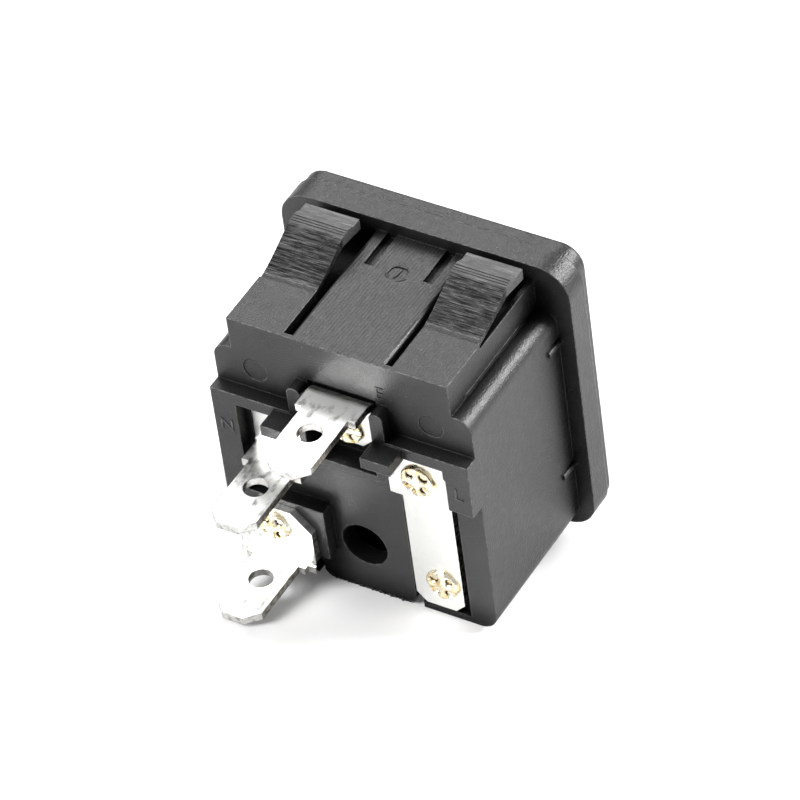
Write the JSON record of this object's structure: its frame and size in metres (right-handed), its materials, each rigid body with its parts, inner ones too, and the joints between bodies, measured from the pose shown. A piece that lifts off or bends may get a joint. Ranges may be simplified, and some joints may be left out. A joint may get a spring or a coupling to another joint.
{
  "type": "power entry module",
  "caption": "Snap-in appliance inlet with a pull-out fuse drawer, three blade pins in front and three flat tab terminals behind.",
  "frame": {"origin": "middle of the flange on the panel's outer face, which is the middle of the panel cut-out", "axes": "+Y from the socket side into the equipment, +Z towards the earth pin, +X to the right seen from the front"},
  "size_m": [0.0304, 0.031, 0.0349],
  "materials": {
    "housing_plastic": "fine spark-eroded texture",
    "drawer_plastic": "fine spark-eroded texture",
    "pin_brass": "bright, staked ends dull",
    "tinned_sheet": "tin-plated brass sheet, satin",
    "spring_sheet": "plated spring sheet",
    "rivet_brass": "dull staked brass",
    "fuse_glass": "clear",
    "fuse_cap": "nickel-plated",
    "fuse_wire": "bare wire"
  },
  "bodies": {
    "module": {"housing": "housing_plastic", "line_pin": "pin_brass", "neutral_pin": "pin_brass", "earth_pin": "pin_brass", "line_strap": "tinned_sheet", "line_terminal": "tinned_sheet", "neutral_terminal": "tinned_sheet", "earth_terminal": "tinned_sheet", "line_fuse_clip": "spring_sheet", "load_fuse_clip": "spring_sheet", "line_clip_rivet": "rivet_brass", "load_clip_rivet": "rivet_brass"},
    "drawer": {"fuse_drawer": "drawer_plastic", "fuse_glass": "fuse_glass", "line_fuse_cap": "fuse_cap", "load_fuse_cap": "fuse_cap", "fuse_wire": "fuse_wire"}
  },
  "joints": [
    {"name": "drawer_slide", "type": "slide", "parent": "module", "child": "drawer", "axis": [0, -1, 0], "range_m": [0, 0.0175]}
  ]
}
